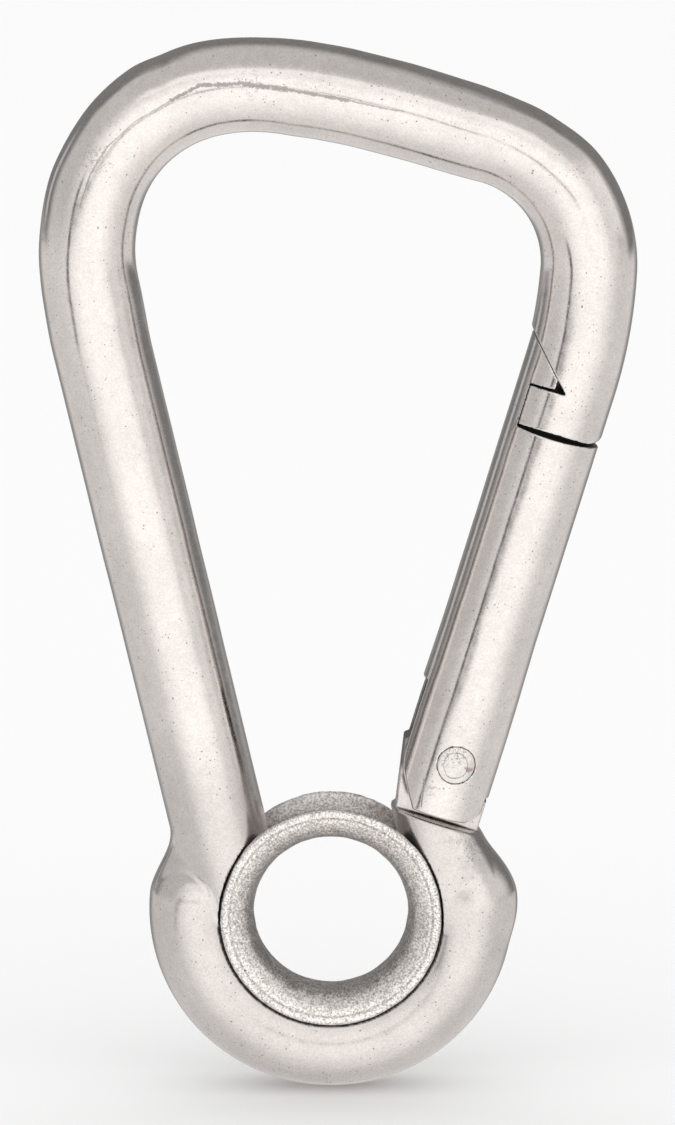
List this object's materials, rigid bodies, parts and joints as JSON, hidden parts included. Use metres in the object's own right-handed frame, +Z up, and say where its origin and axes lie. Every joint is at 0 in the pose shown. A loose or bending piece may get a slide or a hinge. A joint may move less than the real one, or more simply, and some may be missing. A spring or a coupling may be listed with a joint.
{
  "type": "snap shackle",
  "caption": "Bent-bar spring-gate snap hook: a hinged gate with a hooked latch tooth closes the mouth, and a grooved round eyelet is held captive in the loop at its foot.",
  "frame": {"origin": "centre of the eyelet's hole, midway between its two faces", "axes": "+Z up the hook from the eyelet to the crown, +Y along the eyelet's hole out of the back face, +X towards the gate side"},
  "size_m": [0.0672, 0.0108, 0.1203],
  "materials": {
    "body_steel": "tumbled satin polish with small pits",
    "eyelet_steel": "as-cast, speckled",
    "gate_steel": "tumbled satin polish with small pits",
    "pin_steel": "riveted and ground flush",
    "spring_wire": "drawn wire",
    "plunger_steel": "turned"
  },
  "bodies": {
    "frame": {"body": "body_steel"},
    "gate": {"gate": "gate_steel", "hinge_pin": "pin_steel", "gate_spring": "spring_wire"},
    "plunger": {"spring_plunger": "plunger_steel"},
    "eyelet": {"eyelet": "eyelet_steel"}
  },
  "joints": [
    {"name": "gate_hinge", "type": "hinge", "parent": "frame", "child": "gate", "pos_m": [0.01411, 0, 0.01775], "axis": [0, -1, 0], "range_deg": [0, 45], "stiffness_Nm_per_rad": 0.02, "springref_deg": -34.38},
    {"name": "plunger_slide", "type": "slide", "parent": "gate", "child": "plunger", "axis": [0.2924, 0, 0.9563], "range_m": [0, 0.0024], "deforming": ["gate_spring"]},
    {"name": "eyelet_spin", "type": "hinge", "parent": "frame", "child": "eyelet", "pos_m": [0, 0, 0], "axis": [0, 1, 0], "continuous": true}
  ],
  "couplings": [
    {"joint": "plunger_slide", "follows": "gate_hinge", "m_per_rad": 0.003}
  ]
}
